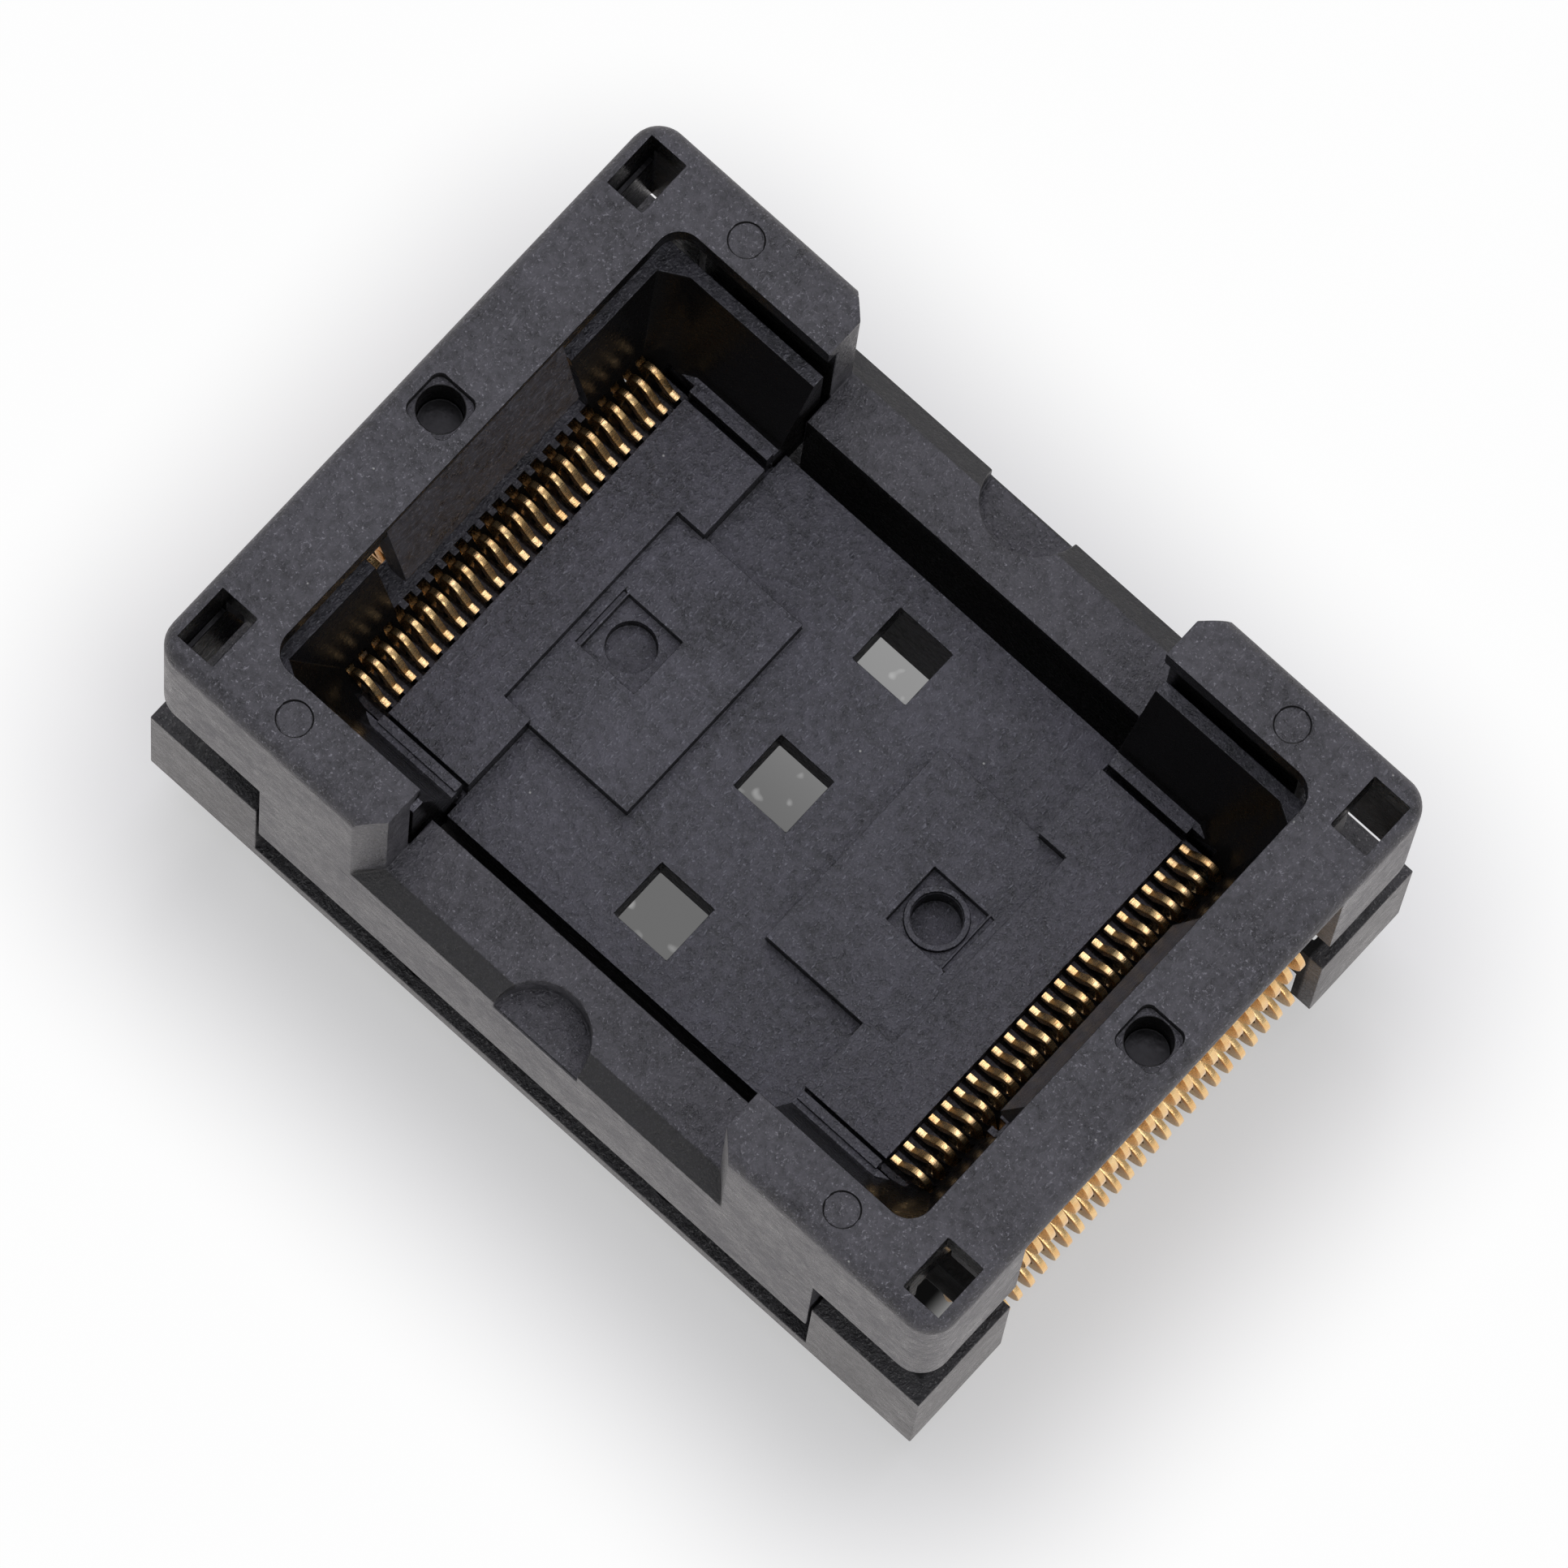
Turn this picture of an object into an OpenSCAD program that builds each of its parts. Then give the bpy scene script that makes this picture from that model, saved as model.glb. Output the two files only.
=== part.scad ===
// Open-top socket for a thin flat chip package with two rows of 24 leads, 0.5 mm apart.
// Lengths are in millimetres. X runs from one contact row to the other, Y runs along a row,
// Z is up. The origin is in the middle of the plan, at the height of the solder tail tips.

/* [Contacts] */
// Distance between neighbouring contacts in a row
pitch = 0.5; // [0.4:0.02:0.52]
// Contacts in each of the two rows
row_count = 24; // [16:1:24]
// Distance between the knees of the two rows, the span over the package's leads
row_span = 20; // [19:0.1:22]
// Thickness of the sheet the contacts are stamped from
sheet_t = 0.2; // [0.16:0.01:0.24]
// Width of the spring strip, in the plane of the sheet
strip_w = 0.42; // [0.36:0.01:0.46]
// Length of the solder tails below the board
tail_l = 3; // [2.4:0.2:4]
// Width of a solder tail
tail_w = 0.3; // [0.24:0.02:0.4]
// Distance between the inner and the outer line of tails on one side
tail_step = 2; // [1.6:0.1:2.2]

/* [Cover] */
// Distance from a row's knees to the cover's end face
end_room = 3.9; // [3.8:0.05:4.2]
// Distance from the end of a row to the cover's long side
side_room = 3.925; // [3.85:0.025:4.1]
// Height of the cover's top face above the board
cover_top = 13.8; // [13.7:0.1:14.2]
// Width of the two end beams beside the window
beam_w = 2.5; // [2.4:0.05:2.6]
// Width of the two long sides beside the window
side_w = 1.925; // [1.8:0.025:2]
// Half width of the low middle part of the long sides
notch_half = 6; // [5.8:0.1:6.1]
// Height of the low middle part above the board
low_top = 8.3; // [8.1:0.1:8.5]
// Radius of the four upright corners
corner_r = 0.9; // [0.7:0.1:1.1]
// Radius along the outer top edge
edge_r = 0.5; // [0.3:0.05:0.6]
// Travel of the cover when it is pressed down
travel = 1.8; // [1.2:0.1:2]

/* [Base] */
// Height of the four corner blocks above the board
block_top = 5.17; // [4.8:0.1:5.4]
// Thickness of the plate along the long sides
plate_t = 0.66; // [0.5:0.02:0.8]
// Diameter of the large locating peg
peg_d = 1.5; // [1.2:0.1:1.8]
// Diameter of the small locating peg
small_peg_d = 1.1; // [0.9:0.1:1.3]
// Length of both locating pegs below the board
peg_l = 1.6; // [1:0.1:2.2]

/* [Package guide] */
// Height of the package seat above the board
seat_top = 7.3; // [7.2:0.05:7.35]
// Depth of the raised pads below the seat
pad_drop = 0.44; // [0.3:0.02:0.5]
// Depth of the lowest floor below the seat
floor_drop = 0.85; // [0.75:0.05:0.95]
// Side of the three square windows through the floor
view_side = 1.9; // [1.5:0.1:2]

/* [Springs] */
// Wire diameter of the four cover springs
wire_d = 0.22; // [0.16:0.02:0.24]
// Outer diameter of the springs
coil_d = 1.6; // [1.4:0.05:1.64]
// Turns in a spring
turns = 8; // [6:1:9]

/* [Hidden] */
$fn = 48;
overlap = 0.05;
slide_gap = 0.1;
slot_gap = 0.02;

board = tail_l;
row_x = row_span / 2;
row_half = row_count * pitch / 2;
half_l = row_x + end_room;
half_w = row_half + side_room;
cover_l = 2 * half_l;
cover_w = 2 * half_w;
window_l = cover_l - 2 * beam_w;
window_w = cover_w - 2 * side_w;

// Cover levels, above the board
skirt_short = block_top + travel + 0.98;
skirt_deep = plate_t + travel + 0.37;
lip_under = cover_top - 0.85;
beam_under = cover_top - 0.6;
corner_under = cover_top - 1.2;
slab_z = cover_top - 3.67;
band_w = 0.68;
band_drop = 0.48;

// Cover plan
deep_half = row_x - 0.05;
corner_y = row_half + 0.25;
thick_y = half_w - 2.505;
inner_x = half_l - 1.85;
inner_y = half_w - 1.575;
hollow_x = half_l - 0.55;
hollow_y = half_w - 0.57;
hole_x = half_l - 1.02;
hole_y = half_w - 1.525;
hole_l = 1.24;
hole_w = 1.76;
slab_half = row_half - 2.58;
slab_r = 0.32;
finger_r = 1.5;
finger_depth = 1;
mark_d = 1;
boss_x = half_l - 1.3;
boss_d = 2;
boss_l = 2.2;
eye_side = 1.46;
eye_drop = 0.3;
eye_d = 1.3;
eye_depth = 1.7;
leg_x0 = row_x + 0.9;
leg_x1 = leg_x0 + 1;
leg_y0 = inner_y + 0.1;
leg_y1 = leg_y0 + 0.75;
leg_bottom = travel + 0.2;
nose_h = 1.1;
nose_x = 0.55;

// Base
block_x0 = deep_half + slide_gap;
pocket_x0 = leg_x0 + 0.3;
pocket_x1 = half_l - 0.7;
pocket_y0 = corner_y + 0.45;
pocket_y1 = half_w - 0.62;
pocket_open = 2.4;
ledge_h = 0.9;
floor_t = 0.88;
field_x = row_x + 2.7;
tower_x = row_x - 1.1;
tower_y = row_half + 0.7;
holder_x = row_x + 0.6;
holder_y = row_half + 0.1;
holder_top = 4.5;
peg_x = row_x - 1.8;
peg_y = half_w - 1.525;

// Package guide
plate_x = row_x - 1.02;
plate_y = row_half - 0.1;
pad_x1 = plate_x - 1.98;
pad_x0 = pad_x1 - 4.5;
pad_y = plate_y - 2.4;
body_x = pad_x1 - 0.95;
body_y = row_half + 0.75;
rib_y0 = row_half + 0.05;
rib_y1 = row_half + 0.33;
wall_x1 = inner_x - 0.25;
wall_x0 = wall_x1 - 0.45;
wall_y1 = inner_y - 0.25;
wall_y0 = wall_y1 - 0.4;
wall_end_y = slab_half + 0.43;
wall_top = lip_under - travel - 0.25;
wall_under = 6.3;
flange_top = 5.9;
comb_top = 6.7;
comb_x = row_x - 0.05;
lead_z = seat_top + 0.2;
lead_x = row_x + 0.42;
lead_y = rib_y1 + 0.17;
lead_turn = 60;
lead_low = (plate_x + 0.37) * cos(lead_turn) + (rib_y1 + 0.02) * sin(lead_turn);
lead_high = wall_x0 * cos(lead_turn) + (wall_y0 - 0.45) * sin(lead_turn);
middle_top = slab_z - slab_r - travel - 0.25;
comb_gap = 0.04;
head_room = 0.72;
head_slot_top = seat_top + 0.6;
view_y = row_half - 1.24;
trough_x = view_side / 2 + 1.25;
trough_y = view_y + view_side / 2 + 0.35;
dimple_x = pad_x1 - 1.48;
dimple_side = 1.95;
dimple_d = 1.42;

// Springs
spring_x = notch_half - 1.4;
spring_y = half_w - 1.26;
spring_room = 4.47;
spring_low = plate_t - 0.3;
spring_high = skirt_deep + spring_room;
spring_bore = coil_d + 0.25;

// Contacts, drawn for the +X side with heights above the board
bar_z = floor_t + strip_w / 2;
tail_x = row_x - 0.25;
post_x0 = row_x - 0.55;
post_w = 0.6;
post_top = holder_top - 0.5;
lobe_x = row_x + 2.9;
lobe_r = 0.5;
arm_x = row_x + 2.55;
arm_z = 6.09;
arm_r = 0.81;
arm_top = arm_z + arm_r * sin(60) + strip_w / 2;
corner_x = row_x + 1.15;
riser_r = 0.7;
riser_l = 1.9;
head_w = 0.32;
cam_x = arm_x + 0.1;
cam_w = 0.9;
cam_z = arm_top + slide_gap + cam_w / 2;

// Colours, red, green and blue from 0 to 1
plastic = [0.17, 0.17, 0.18];
gold = [0.83, 0.65, 0.33];
steel = [0.7, 0.71, 0.72];

function two(i) = str(i < 10 ? "0" : "", i);
function contact_name(s, i) = str("contact_", s > 0 ? "right" : "left", "_", two(i));
function row_y(i) = (i - (row_count + 1) / 2) * pitch;

// A box given by its two opposite corners
module span(a, b) {
  translate(a) cube(b - a);
}

// The same box in all four quarters of the plan
module four(a, b) {
  for (sx = [0, 1], sy = [0, 1]) mirror([sx, 0, 0]) mirror([0, sy, 0]) span(a, b);
}

// The same shape in all four quarters of the plan
module quarters() {
  for (sx = [0, 1], sy = [0, 1]) mirror([sx, 0, 0]) mirror([0, sy, 0]) children();
}

// A rectangle with rounded corners, in plan
module soft_rect(l, w, r) {
  square([l - 2 * r, w], center = true);
  square([l, w - 2 * r], center = true);
  for (sx = [-1, 1], sy = [-1, 1])
    translate([sx * (l / 2 - r), sy * (w / 2 - r)]) circle(r);
}

// What the rounding takes off a wall's upper outer edge, in section
module edge_section(rc, rt, h) {
  translate([rc - rt, h - rt]) difference() {
    square(rt + 1);
    circle(rt);
  }
}

// A block with rounded upright corners and a rounded top edge
module soft_block(l, w, h, rc, rt) {
  difference() {
    linear_extrude(h) soft_rect(l, w, rc);
    quarters() translate([l / 2 - rc, w / 2 - rc, 0])
      rotate_extrude(angle = 90) edge_section(rc, rt, h);
    for (a = [0, 180]) rotate(a) {
      translate([l / 2 - rc, w / 2 - rc, 0])
        rotate([90, 0, 0]) linear_extrude(w - 2 * rc) edge_section(rc, rt, h);
      translate([-l / 2 + rc, w / 2 - rc, 0])
        rotate([90, 0, 90]) linear_extrude(l - 2 * rc) edge_section(rc, rt, h);
    }
  }
}

// Plan of the low middle part, with the slanted corners of the tall ends
module notch_plan() {
  square([2 * notch_half, cover_w + 2], center = true);
  for (sx = [0, 1], sy = [0, 1]) mirror([sx, 0]) mirror([0, sy])
    polygon([
      [notch_half - overlap, half_w - band_w],
      [notch_half, half_w - band_w],
      [notch_half + band_w + 0.5, half_w + 0.5],
      [notch_half - overlap, half_w + 0.5]
    ]);
}

// One snap leg of the cover, its nose pointing outward
module snap_leg() {
  span([leg_x0, leg_y0, leg_bottom], [leg_x1, leg_y1, corner_under + overlap]);
  translate([0, leg_y1, 0]) rotate([90, 0, 0]) linear_extrude(leg_y1 - leg_y0)
    polygon([
      [leg_x1 - overlap, leg_bottom],
      [leg_x1, leg_bottom],
      [leg_x1 + nose_x, leg_bottom + nose_h - 0.25],
      [leg_x1 + nose_x, leg_bottom + nose_h],
      [leg_x1 - overlap, leg_bottom + nose_h]
    ]);
}

// Everything under the beam at one end: the slanted inner slab, the cam rib that presses the
// contacts, and the boss round the hole
module beam_parts() {
  translate([0, slab_half, 0]) rotate([90, 0, 0]) linear_extrude(2 * slab_half) {
    polygon([
      [window_l / 2, cover_top - 0.3],
      [inner_x + 0.1, cover_top - 0.3],
      [inner_x + 0.1, beam_under],
      [inner_x - 1.09 + slab_r, slab_z - 0.03],
      [inner_x - 1.09 - slab_r, slab_z + 0.05]
    ]);
    translate([inner_x - 1.09, slab_z]) circle(slab_r);
  }
  translate([0, corner_y + overlap, 0]) rotate([90, 0, 0])
    linear_extrude(2 * (corner_y + overlap)) {
      translate([cam_x - cam_w / 2, cam_z]) square([cam_w, beam_under + 0.2 - cam_z]);
      translate([cam_x, cam_z]) circle(cam_w / 2);
    }
  translate([boss_x, 0, cover_top - boss_l]) cylinder(d = boss_d, h = boss_l - 0.4);
}

module cover_solid() {
  difference() {
    union() {
      translate([0, 0, skirt_short])
        soft_block(cover_l, cover_w, cover_top - skirt_short, corner_r, edge_r);
      span([-deep_half, -half_w, skirt_deep], [deep_half, half_w, low_top]);
    }
    // Window, the wider room below its lip, and the room between the low walls
    translate([0, 0, lip_under - overlap])
      linear_extrude(3) soft_rect(window_l, window_w, 0.7);
    span([-inner_x, -inner_y, skirt_short - overlap], [-notch_half, inner_y, lip_under]);
    span([notch_half, -inner_y, skirt_short - overlap], [inner_x, inner_y, lip_under]);
    span([-deep_half - 1, -inner_y, 0], [-notch_half, inner_y, skirt_short + overlap]);
    span([notch_half, -inner_y, 0], [deep_half + 1, inner_y, skirt_short + overlap]);
    span([-notch_half - overlap, -thick_y, 0], [notch_half + overlap, thick_y, cover_top + 1]);
    // Low middle part and its slanted outer band
    translate([0, 0, low_top]) linear_extrude(cover_top) notch_plan();
    for (a = [0, 180]) rotate(a) intersection() {
      translate([0, 0, low_top - 1]) linear_extrude(1.1) notch_plan();
      translate([-notch_half - 3, 0, 0]) rotate([90, 0, 90]) linear_extrude(2 * notch_half + 6)
        polygon([
          [half_w - band_w, low_top],
          [half_w + 1, low_top],
          [half_w + 1, low_top - band_drop * (1 + 1 / band_w)]
        ]);
    }
    for (sy = [-1, 1]) translate([0, sy * half_w, low_top - finger_depth])
      cylinder(r = finger_r, h = finger_depth + 1);
    // Open underside of the two beams, and the hollow corners
    for (s = [0, 1]) mirror([s, 0, 0])
      span([inner_x - overlap, -corner_y, skirt_short - 1], [half_l + 1, corner_y, beam_under]);
    four([leg_x0 - 0.3, inner_y - overlap, skirt_short - 1], [hollow_x, hollow_y, corner_under]);
    four([inner_x - overlap, corner_y + 0.55, skirt_short - 1], [hollow_x, inner_y + overlap, corner_under]);
    // Corner holes
    four(
      [hole_x - hole_l / 2, hole_y - hole_w / 2, corner_under - 1],
      [hole_x + hole_l / 2, hole_y + hole_w / 2, cover_top + 1]
    );
  }
  quarters() snap_leg();
  for (s = [0, 1]) mirror([s, 0, 0]) beam_parts();
}

module cover() {
  color(plastic) translate([0, 0, board]) difference() {
    cover_solid();
    // Pockets that hold the upper ends of the springs
    quarters() translate([spring_x, spring_y, skirt_deep - 1])
      cylinder(d = spring_bore, h = spring_room + 1);
    // Moulded recess with a round hole in the middle of each beam
    for (sx = [-1, 1]) {
      translate([sx * boss_x, 0, cover_top - eye_drop])
        linear_extrude(1) soft_rect(eye_side, eye_side, 0.3);
      translate([sx * boss_x, 0, cover_top - eye_depth]) cylinder(d = eye_d, h = eye_depth + 1);
    }
    // Round ejector marks
    quarters() translate([half_l - 4.18, half_w - 1.075, cover_top - 0.06])
      cylinder(d = mark_d, h = 1);
  }
}

// One corner block with the pocket for the snap leg and the ledge that holds its nose
module corner_block() {
  difference() {
    span([block_x0, corner_y, 0], [half_l, half_w, block_top]);
    span([pocket_x0, pocket_y0, -1], [pocket_x1, pocket_y1, block_top + 1]);
    span([pocket_x0, corner_y - 1, -1], [pocket_x1, pocket_y0 + overlap, pocket_open]);
    span([leg_x0 - 0.15, leg_y0 - 0.15, -1], [pocket_x0 + overlap, pocket_y1, block_top + 1]);
  }
  span(
    [leg_x1 + 0.25, leg_y0 - 0.15, leg_bottom + nose_h + slide_gap],
    [pocket_x1 + overlap, pocket_y1 + overlap, leg_bottom + nose_h + slide_gap + ledge_h]
  );
}

// Slot for one contact: the post and bar, and the hole for its tail
module contact_slot(i) {
  w = sheet_t + 2 * slot_gap;
  span([post_x0 - 0.15, -w / 2, floor_t], [holder_x + 1, w / 2, holder_top + 1]);
  x = tail_x + (i % 2) * tail_step;
  span([x - tail_w / 2 - 0.03, -w / 2, -1], [x + tail_w / 2 + 0.03, w / 2, floor_t + overlap]);
}

module locating_peg(d) {
  cylinder(d = d, h = peg_l - 0.3 + overlap);
  translate([0, 0, -0.3]) cylinder(d1 = d - 0.4, d2 = d, h = 0.3);
}

module base() {
  color(plastic) translate([0, 0, board]) {
    difference() {
      union() {
        span([-block_x0 - overlap, -half_w, 0], [block_x0 + overlap, half_w, plate_t]);
        span([-field_x, -corner_y - overlap, 0], [field_x, corner_y + overlap, floor_t]);
        span([-tower_x, -tower_y, 0], [tower_x, tower_y, block_top]);
        for (s = [0, 1]) mirror([s, 0, 0])
          span([tower_x - overlap, -holder_y, 0], [holder_x, holder_y, holder_top]);
        quarters() corner_block();
      }
      for (s = [0, 1], i = [1:row_count]) mirror([s, 0, 0])
        translate([0, row_y(i), 0]) contact_slot(i);
      // Open middle below the guide's windows
      span([-trough_x, -trough_y, -1], [trough_x, trough_y, block_top + 1]);
      quarters() translate([spring_x, spring_y, spring_low])
        cylinder(d = spring_bore, h = 2);
    }
    // Posts that keep the springs in place
    quarters() translate([spring_x, spring_y, spring_low - overlap]) {
      cylinder(d = 0.8, h = 1.4);
      translate([0, 0, 1.4]) cylinder(d1 = 0.8, d2 = 0.4, h = 0.2);
    }
    translate([-peg_x, peg_y, 0.3 - peg_l]) locating_peg(peg_d);
    translate([peg_x, -peg_y, 0.3 - peg_l]) locating_peg(small_peg_d);
  }
}

// Place of a slanted face at height z, from its places at the seat and at the walls' top
function lead_at(low, high, z) = low + (high - low) * (z - lead_z) / (wall_top - lead_z);

// Room between the slanted inner faces of the corner walls, in one quarter of the plan
module lead_in() {
  top = wall_top + 1;
  intersection() {
    translate([0, half_w, 0]) rotate([90, 0, 0]) linear_extrude(half_w + 1)
      polygon([
        [0, comb_top],
        [comb_x - overlap, comb_top],
        [lead_x, lead_z],
        [lead_at(lead_x, wall_x0, top), top],
        [0, top]
      ]);
    rotate([90, 0, 90]) linear_extrude(half_l)
      polygon([
        [0, comb_top],
        [rib_y1 - overlap, comb_top],
        [rib_y1 - overlap, lead_z],
        [lead_y, lead_z],
        [lead_at(lead_y, wall_y0, top), top],
        [0, top]
      ]);
    rotate(lead_turn) translate([0, half_l, 0]) rotate([90, 0, 0]) linear_extrude(2 * half_l)
      polygon([
        [0, comb_top],
        [lead_at(lead_low, lead_high, comb_top), comb_top],
        [lead_at(lead_low, lead_high, top), top],
        [0, top]
      ]);
  }
}

// The walls behind one row of contacts: low in the middle, tall at both corners, with a slot
// for each contact's head
module end_wall() {
  difference() {
    union() {
      translate([0, wall_end_y + overlap, 0]) rotate([90, 0, 0])
        linear_extrude(2 * (wall_end_y + overlap)) polygon([
          [comb_x - overlap, wall_under],
          [comb_x - overlap, comb_top],
          [lead_x, lead_z],
          [lead_at(lead_x, wall_x0, middle_top), middle_top],
          [wall_x1, middle_top],
          [wall_x1, wall_under]
        ]);
      for (s = [0, 1]) mirror([0, s, 0]) difference() {
        translate([0, 0, wall_under]) linear_extrude(wall_top - wall_under) polygon([
          [notch_half + 0.12, rib_y1 - 0.1],
          [comb_x - overlap, rib_y1 - 0.1],
          [comb_x - overlap, wall_end_y],
          [wall_x1, wall_end_y],
          [wall_x1, wall_y1],
          [notch_half + 0.12, wall_y1]
        ]);
        lead_in();
      }
    }
    for (i = [1:row_count]) translate([0, row_y(i), 0])
      span(
        [comb_x - 1, -sheet_t / 2 - comb_gap, wall_under - 1],
        [row_x + head_room, sheet_t / 2 + comb_gap, head_slot_top]
      );
  }
}

module guide_solid() {
  // Floor, raised pads and the two package seats
  low = seat_top - floor_drop;
  pad = seat_top - pad_drop;
  span([-body_x, -body_y, block_top], [body_x, body_y, low]);
  for (s = [0, 1]) mirror([s, 0, 0]) {
    span([0, -rib_y1, block_top], [plate_x, rib_y1, low - 0.2]);
    span([body_x, -plate_y, low - 0.3], [plate_x, plate_y, pad]);
    span([body_x, pad_y - 0.05, pad - 0.1], [plate_x, plate_y, seat_top]);
    span([body_x, -plate_y, pad - 0.1], [plate_x, -pad_y + 0.05, seat_top]);
    span([pad_x1, -pad_y, pad - 0.1], [plate_x, pad_y, seat_top]);
    span([pad_x0, -pad_y, low - 0.1], [pad_x1, pad_y, pad]);
    // Teeth between the contacts
    for (i = [0:row_count]) translate([0, row_y(i) + pitch / 2, 0])
      span(
        [plate_x - overlap, -pitch / 2 + sheet_t / 2 + comb_gap, flange_top - 0.3],
        [comb_x, pitch / 2 - sheet_t / 2 - comb_gap, comb_top]
      );
    end_wall();
  }
  quarters() {
    // Lip along the package's side, and what stands on the corner block
    span([body_x + 0.1, rib_y0, low - 0.5], [plate_x, rib_y1, seat_top + 0.3]);
    span([notch_half + 0.12, rib_y1 - 0.1, block_top], [wall_x0 - 0.2, wall_y1, wall_under + overlap]);
    span([notch_half + 0.12, wall_y0, block_top], [wall_x1, wall_y1, wall_under + overlap]);
  }
}

module package_guide() {
  pad = seat_top - pad_drop;
  color(plastic) translate([0, 0, board]) {
    difference() {
      guide_solid();
      for (y = [-view_y, 0, view_y]) translate([-view_side / 2, y - view_side / 2, 0])
        cube([view_side, view_side, 9]);
      // Square recesses with a round one inside, and the narrow step beside each
      for (sx = [-1, 1]) translate([sx * dimple_x, 0, 0]) {
        translate([-dimple_side / 2, -dimple_side / 2, pad - 0.35])
          cube([dimple_side, dimple_side, 1]);
        translate([0, 0, pad - (sx > 0 ? 1.2 : 0.8)]) cylinder(d = dimple_d, h = 2);
        translate([sx * (dimple_side / 2 + 0.125) - 0.06, -dimple_side / 2, pad - 0.12])
          cube([0.12, dimple_side, 1]);
      }
    }
    translate([dimple_x, 0, pad - 0.36]) difference() {
      cylinder(d = 1.8, h = 0.16);
      translate([0, 0, -1]) cylinder(d = dimple_d + 0.04, h = 3);
    }
  }
}

// Half a turn of wire, tilted so that the next half turn continues it
module half_turn(r, tilt) {
  rotate([0, tilt, 0]) rotate_extrude(angle = 180, $fn = 24)
    translate([r, 0]) circle(d = wire_d, $fn = 14);
}

module cover_spring(i) {
  sx = i % 2 == 1 ? -1 : 1;
  sy = i < 3 ? -1 : 1;
  r = (coil_d - wire_d) / 2;
  // The two end turns lie flat, the turns between them climb evenly
  rise = (spring_high - spring_low - wire_d) / (2 * turns);
  tilt = asin(rise / (2 * r));
  color(steel) translate([sx * spring_x, sy * spring_y, board + spring_low + wire_d / 2]) {
    rotate(180) half_turn(r, 0);
    translate([0, 0, spring_high - spring_low - wire_d]) half_turn(r, 0);
    for (k = [0:2 * turns - 1]) translate([0, 0, (k + 0.5) * rise])
      rotate(k % 2 * 180) half_turn(r, tilt);
  }
}

// Points of a wedge that starts at -90 degrees and opens by the given turn
function wedge(turn, r) = concat(
  [[0, 0]],
  [for (k = [0:4]) [r * sin(turn * k / 4), -r * cos(turn * k / 4)]]
);

// A bend of the strip: centre line radius r, left turns positive
module bend(r, turn, w) {
  s = sign(turn);
  translate([0, s * r]) mirror([0, s < 0 ? 1 : 0]) intersection() {
    difference() {
      circle(r + w / 2);
      if (r > w / 2) circle(r - w / 2);
    }
    polygon(wedge(abs(turn), 3 * (r + w)));
  }
}

// A strip along a path of steps, each with its width: a straight step is [length, 0, width]
// and a bend is [radius, turn, width]
module strip(steps, k = 0) {
  if (k < len(steps)) {
    s = steps[k];
    if (s[1] == 0) {
      translate([-0.005, -s[2] / 2]) square([s[0] + 0.01, s[2]]);
      translate([s[0], 0]) strip(steps, k + 1);
    } else {
      bend(s[0], s[1], s[2]);
      e = sign(s[1]) * s[0];
      translate([0, e]) rotate(s[1]) translate([0, -e]) strip(steps, k + 1);
    }
  }
}

// Side view of a contact, outward is +X and up is +Y
module contact_plan(outer) {
  x = tail_x + outer * tail_step;
  // Tail with a pointed tip
  translate([x - tail_w / 2, -tail_l + 0.3]) square([tail_w, bar_z + tail_l - 0.3]);
  polygon([
    [x - tail_w / 2, -tail_l + 0.31],
    [x - 0.06, -tail_l],
    [x + 0.06, -tail_l],
    [x + tail_w / 2, -tail_l + 0.31]
  ]);
  // Bar on the floor and the post that is pressed into its slot
  translate([post_x0, bar_z - strip_w / 2]) square([lobe_x - post_x0, strip_w]);
  translate([post_x0, bar_z]) square([post_w, post_top - bar_z]);
  polygon([
    [post_x0 + 0.12, post_top + 0.2],
    [post_x0, post_top - 0.01],
    [post_x0 + post_w, post_top - 0.01],
    [post_x0 + post_w - 0.12, post_top + 0.2]
  ]);
  // Spring: outer lobe, waist, and on to the head
  translate([lobe_x, bar_z]) strip([
    [lobe_r, 150, strip_w],
    [1.32, 0, strip_w],
    [0.55, -120, strip_w],
    [0.7, 40, strip_w],
    [1.2, 0, strip_w]
  ]);
  // Head: the outer arm that the cover presses, then the riser, the knee and the tip
  translate([arm_x, arm_z]) rotate(60) translate([arm_r, 0]) {
    circle(strip_w / 2);
    rotate(-90) strip([
      [arm_r, -150, strip_w],
      [arm_x - corner_x, 0, strip_w],
      [riser_r, -83, head_w + 0.04],
      [riser_l, 0, head_w],
      [0.22, 135, head_w],
      [0.72, 0, head_w - 0.02],
      [0.15, -45, head_w - 0.02],
      [0.2, 0, head_w - 0.02]
    ]);
  }
}

module contact(s, i) {
  color(gold) translate([0, row_y(i), board]) mirror([s < 0 ? 1 : 0, 0, 0])
    rotate([90, 0, 0]) linear_extrude(sheet_t, center = true) contact_plan(i % 2);
}

cover();
base();
package_guide();
for (i = [1:4]) cover_spring(i);
for (s = [-1, 1], i = [1:row_count]) contact(s, i);
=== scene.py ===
# Open-top socket for a thin flat chip package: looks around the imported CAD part.
# Lengths in the dictionaries are in millimetres, as in the part's source; meshes are in metres.
import math

import bmesh
import bpy
import numpy as np
from mathutils import Matrix, Vector, kdtree


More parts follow.
